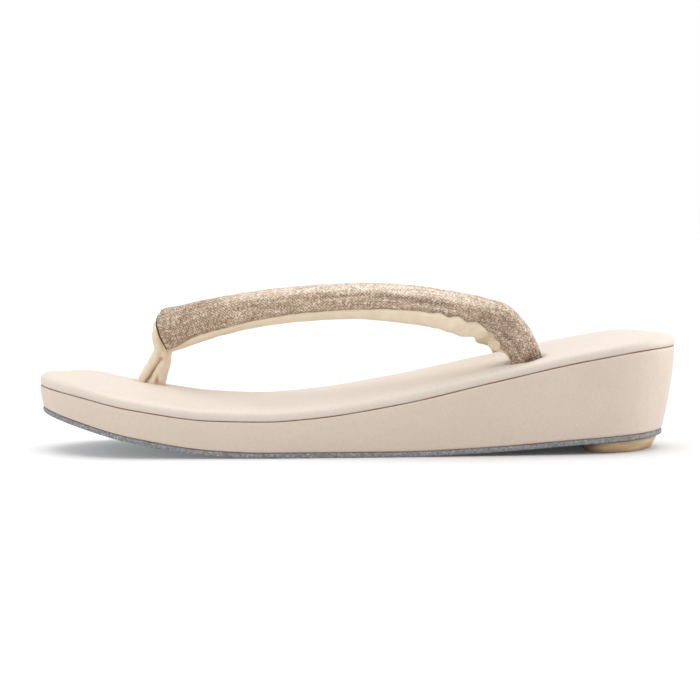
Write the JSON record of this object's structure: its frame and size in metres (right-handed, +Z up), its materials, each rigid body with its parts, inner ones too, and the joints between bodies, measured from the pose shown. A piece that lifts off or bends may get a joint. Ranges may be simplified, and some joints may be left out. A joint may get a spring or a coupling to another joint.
{
  "type": "zori sandal",
  "caption": "Thong sandal for kimono wear: a leather-wrapped wedge platform with a padded footbed, a stuffed V strap, a soft toe post, a thin outsole and a heel lift.",
  "frame": {"origin": "on the floor, below the middle of the sandal's length and width", "axes": "+X towards the toe, +Y towards the wearer's left, +Z up from the floor"},
  "size_m": [0.24, 0.078, 0.0631],
  "materials": {
    "outsole": "matte, speckled grey",
    "lift": "matte tan",
    "wrap": "satin, fine grain",
    "pad": "satin, fine grain",
    "cloth": "fine weave with metallic threads",
    "lining": "soft brushed cotton"
  },
  "bodies": {
    "root": {"outsole": "outsole", "heel_lift": "lift", "platform": "wrap", "footbed": "pad", "strap": "cloth", "toe_post": "lining"}
  },
  "joints": []
}
